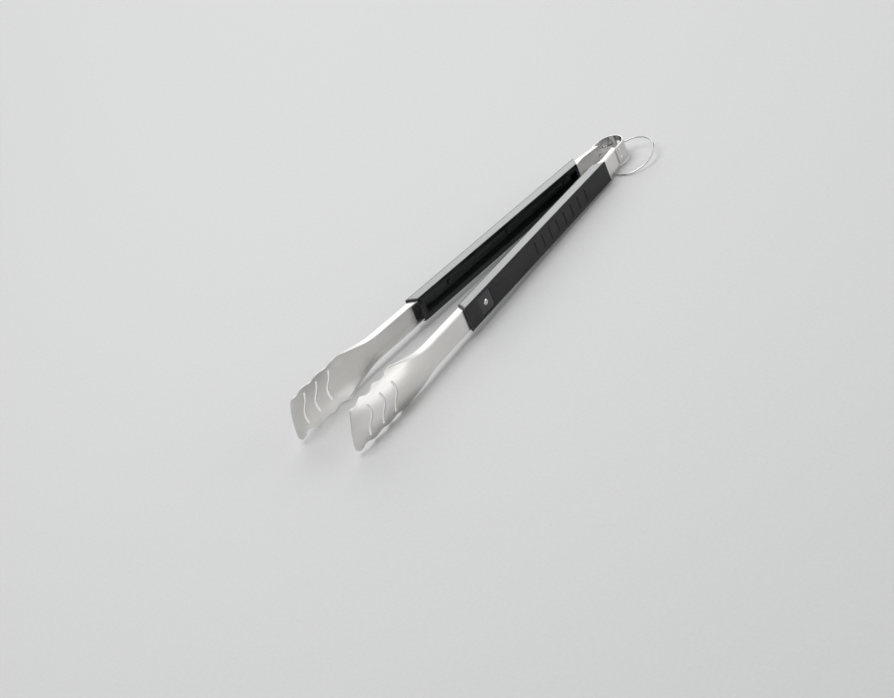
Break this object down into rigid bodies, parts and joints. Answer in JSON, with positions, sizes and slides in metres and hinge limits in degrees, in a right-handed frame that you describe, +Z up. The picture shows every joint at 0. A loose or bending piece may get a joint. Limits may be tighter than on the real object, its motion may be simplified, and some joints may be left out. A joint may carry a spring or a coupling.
{
  "type": "spring loaded kitchen tongs",
  "caption": "Spring tongs with scalloped slotted steel heads, channel arms, padded handles, a bowed steel spring and a hanging ring.",
  "frame": {"origin": "middle of the bounding box on the floor that the tongs lie on", "axes": "+X from the bow towards the heads, +Y from the left arm towards the right arm, +Z up; the arms' width stands nearly along Z"},
  "size_m": [0.4324, 0.0832, 0.0414],
  "materials": {
    "arm_steel": "fine satin stainless sheet",
    "polished_steel": "polished stainless",
    "grip_black": "fine-grained charcoal plastic",
    "rail_silver": "satin silver-grey plastic",
    "liner_black": "semi-gloss black plastic",
    "collar_black": "gloss black plastic",
    "badge_black": "matt charcoal plastic",
    "screw_black": "blackened steel"
  },
  "bodies": {
    "right_arm_body": {"right_arm": "arm_steel", "right_outer_grip": "grip_black", "right_upper_rail": "rail_silver", "right_lower_rail": "rail_silver", "right_inner_liner": "liner_black", "right_front_collar": "collar_black", "right_badge_plate": "badge_black", "right_badge_stud": "polished_steel", "right_grip_screws": "screw_black", "right_band_rivets": "polished_steel", "spring_band": "polished_steel"},
    "left_arm_body": {"left_arm": "arm_steel", "left_outer_grip": "grip_black", "left_upper_rail": "rail_silver", "left_lower_rail": "rail_silver", "left_inner_liner": "liner_black", "left_front_collar": "collar_black", "left_badge_plate": "badge_black", "left_badge_stud": "polished_steel", "left_grip_screws": "screw_black", "left_band_rivets": "polished_steel"},
    "ring_body": {"hanging_ring": "polished_steel"}
  },
  "joints": [
    {"name": "squeeze", "type": "hinge", "parent": "right_arm_body", "child": "left_arm_body", "pos_m": [-0.19276, -0.00071, 0.0111], "axis": [-0.0275, 0, 0.9996], "range_deg": [0, 9.15], "stiffness_Nm_per_rad": 10, "deforming": ["spring_band"]},
    {"name": "ring_swing", "type": "hinge", "parent": "right_arm_body", "child": "ring_body", "pos_m": [-0.20508, -0.00052, 0.00956], "axis": [0.9678, 0.1302, -0.2155], "range_deg": [-150, 4]}
  ]
}
